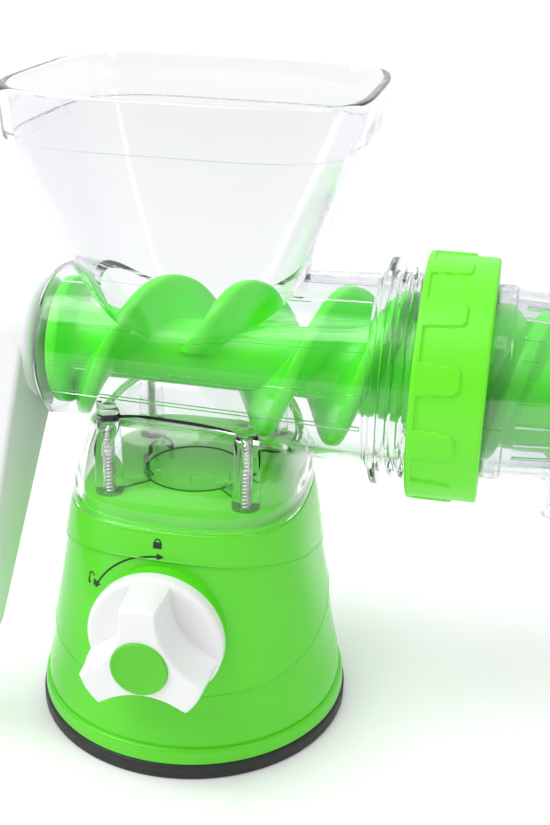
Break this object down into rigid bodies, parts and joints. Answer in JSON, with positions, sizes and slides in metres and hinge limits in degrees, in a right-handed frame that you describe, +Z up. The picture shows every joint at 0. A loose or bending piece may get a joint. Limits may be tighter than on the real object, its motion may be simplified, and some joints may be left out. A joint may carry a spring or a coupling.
{
  "type": "hand-cranked auger juicer",
  "caption": "Hand-cranked auger juicer with a clear hopper and barrel, green auger, ring nut and juice head, on a lever-locked suction base.",
  "frame": {"origin": "centre of the suction foot on the table", "axes": "+X along the barrel towards the outlet, +Y away from the lock knob, +Z up"},
  "size_m": [0.3555, 0.1452, 0.26],
  "materials": {
    "green_plastic": "high gloss lime green ABS",
    "auger_green": "gloss lime green glass-filled nylon",
    "clear_plastic": "polished clear polycarbonate",
    "strainer_plastic": "clear polycarbonate, slotted",
    "clear_silicone": "translucent silicone rubber",
    "white_plastic": "gloss white ABS",
    "white_acetal": "satin white acetal",
    "grey_nylon": "satin grey nylon",
    "black_rubber": "moulded black rubber",
    "steel": "zinc-plated and stainless steel"
  },
  "bodies": {
    "frame": {"base_shell": "green_plastic", "rubber_rim": "black_rubber", "front_bush": "grey_nylon", "bearing_bridge": "grey_nylon", "bridge_screws": "steel", "body_screws": "steel", "housing": "clear_plastic", "rear_bush": "white_acetal", "rear_seal": "clear_silicone", "barrel_seal": "clear_silicone"},
    "knob_shaft": {"knob": "white_plastic", "knob_cap": "green_plastic", "knob_screw": "steel", "cam_shaft": "grey_nylon", "shaft_clip": "steel"},
    "suction_pad": {"rubber_membrane": "black_rubber", "pad_centre": "black_rubber", "pad_plate": "steel", "pad_stem": "white_acetal", "stem_screw": "steel"},
    "auger_crank": {"auger": "auger_green", "drive_shaft": "steel", "crank_arm": "white_plastic", "crank_washer": "steel", "crank_screw": "steel", "grip_pin": "steel", "grip_washer": "white_acetal"},
    "crank_grip": {"grip": "green_plastic"},
    "juice_head": {"outlet_head": "clear_plastic", "strainer": "strainer_plastic", "front_bearing": "white_acetal"},
    "nut": {"ring_nut": "green_plastic"},
    "regulator": {"pulp_regulator": "green_plastic"}
  },
  "joints": [
    {"name": "crank_spin", "type": "hinge", "parent": "frame", "child": "auger_crank", "pos_m": [0, 0, 0.155], "axis": [1, 0, 0], "continuous": true},
    {"name": "grip_spin", "type": "hinge", "parent": "auger_crank", "child": "crank_grip", "pos_m": [0, -0.06195, 0.06653], "axis": [1, 0, 0], "continuous": true},
    {"name": "knob_turn", "type": "hinge", "parent": "frame", "child": "knob_shaft", "pos_m": [0, -0.0545, 0.0605], "axis": [0, -1, 0], "range_deg": [0, 60]},
    {"name": "pad_lift", "type": "slide", "parent": "frame", "child": "suction_pad", "axis": [0, 0, 1], "range_m": [-0.005, 0], "deforming": ["rubber_membrane"]},
    {"name": "head_slide", "type": "slide", "parent": "frame", "child": "juice_head", "axis": [1, 0, 0], "range_m": [0, 0.008]},
    {"name": "nut_turn", "type": "hinge", "parent": "juice_head", "child": "nut", "pos_m": [0.1, 0, 0.155], "axis": [1, 0, 0], "range_deg": [0, 720]},
    {"name": "regulator_turn", "type": "hinge", "parent": "juice_head", "child": "regulator", "pos_m": [0.198, 0, 0.155], "axis": [1, 0, 0], "range_deg": [0, 90]}
  ],
  "couplings": [
    {"joint": "pad_lift", "follows": "knob_turn", "m_per_rad": -0.0047746},
    {"joint": "head_slide", "follows": "nut_turn", "m_per_rad": 0.00063662}
  ]
}
